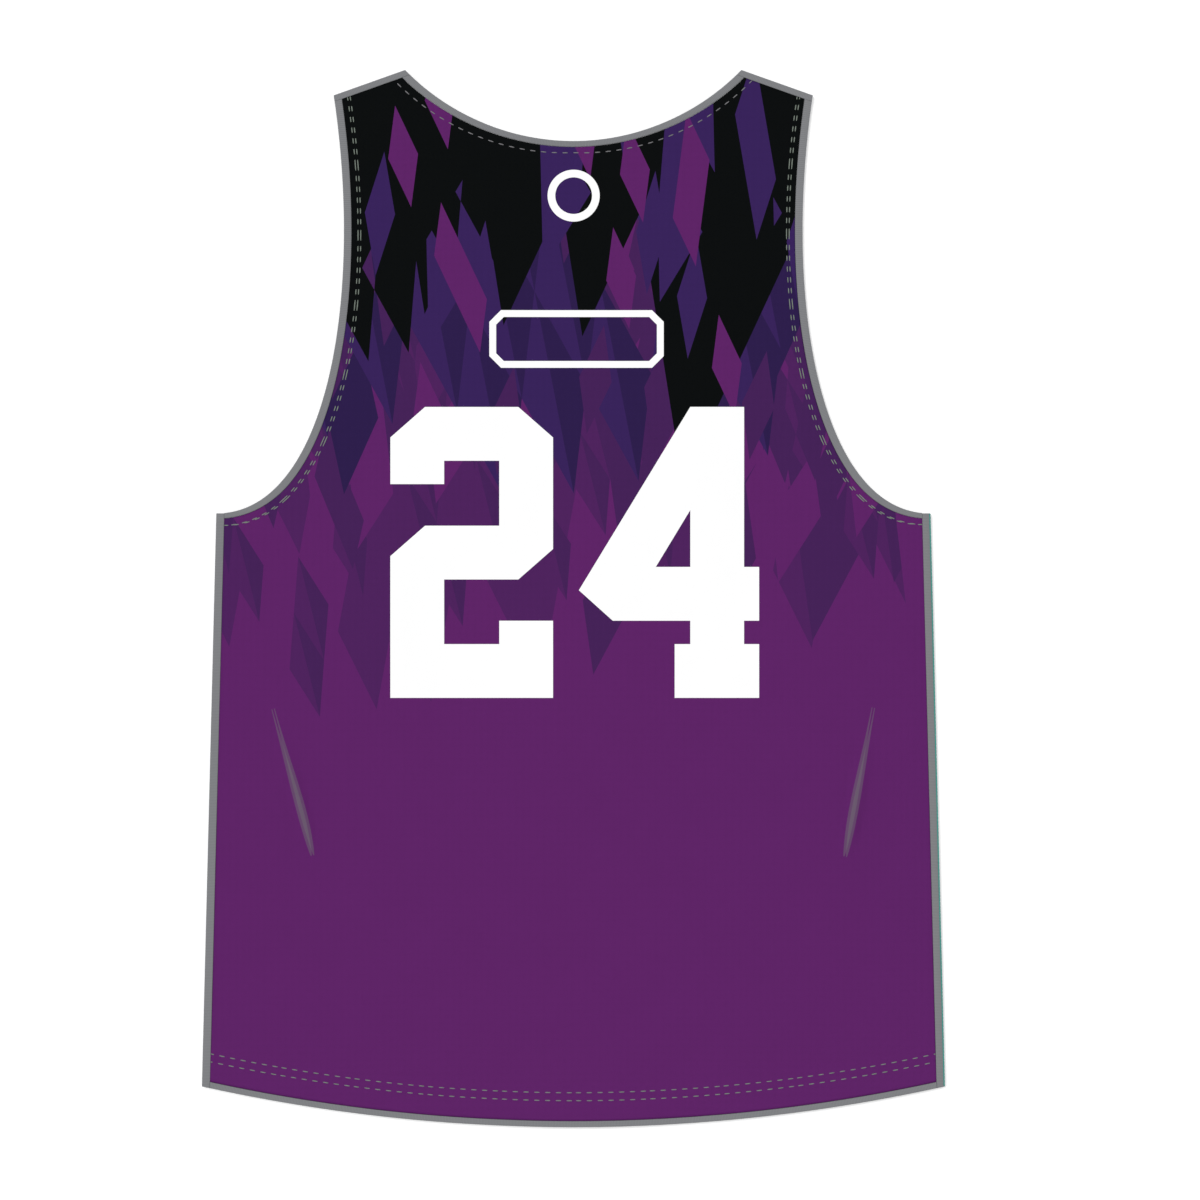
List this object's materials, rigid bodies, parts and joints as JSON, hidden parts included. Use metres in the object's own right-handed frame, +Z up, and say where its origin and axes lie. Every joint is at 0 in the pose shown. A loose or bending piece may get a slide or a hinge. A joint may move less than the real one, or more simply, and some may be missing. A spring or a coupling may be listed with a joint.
{
  "type": "reversible pinnie",
  "caption": "Sleeveless reversible practice top laid flat, back upwards, with a wide shallow neck, deep armholes, a curved hem and narrow binding all round.",
  "frame": {"origin": "middle of the garment's outline, on the surface that it lies on", "axes": "+Z up out of the surface, +Y from the hem towards the neck, +X towards the right of the back as seen from above"},
  "size_m": [0.541, 0.7696, 0.0058],
  "materials": {
    "back_cloth": "matte fine sports mesh, printed",
    "front_cloth": "matte fine sports mesh",
    "binding": "matte knitted binding tape",
    "seam_strip": "matte knitted seam tape",
    "numeral_print": "matte white heat-applied print",
    "stitch_thread": "matte polyester thread",
    "edge_thread": "matte polyester thread"
  },
  "bodies": {
    "root": {"back_panel": "back_cloth", "front_panel": "front_cloth", "neck_binding_back": "binding", "neck_binding_front": "binding", "armhole_binding_left_back": "binding", "armhole_binding_right_back": "binding", "armhole_binding_left_front": "binding", "armhole_binding_right_front": "binding", "hem_binding_back": "binding", "hem_binding_front": "binding", "side_binding_left": "seam_strip", "side_binding_right": "seam_strip", "shoulder_binding_left": "seam_strip", "shoulder_binding_right": "seam_strip"}
  },
  "joints": []
}
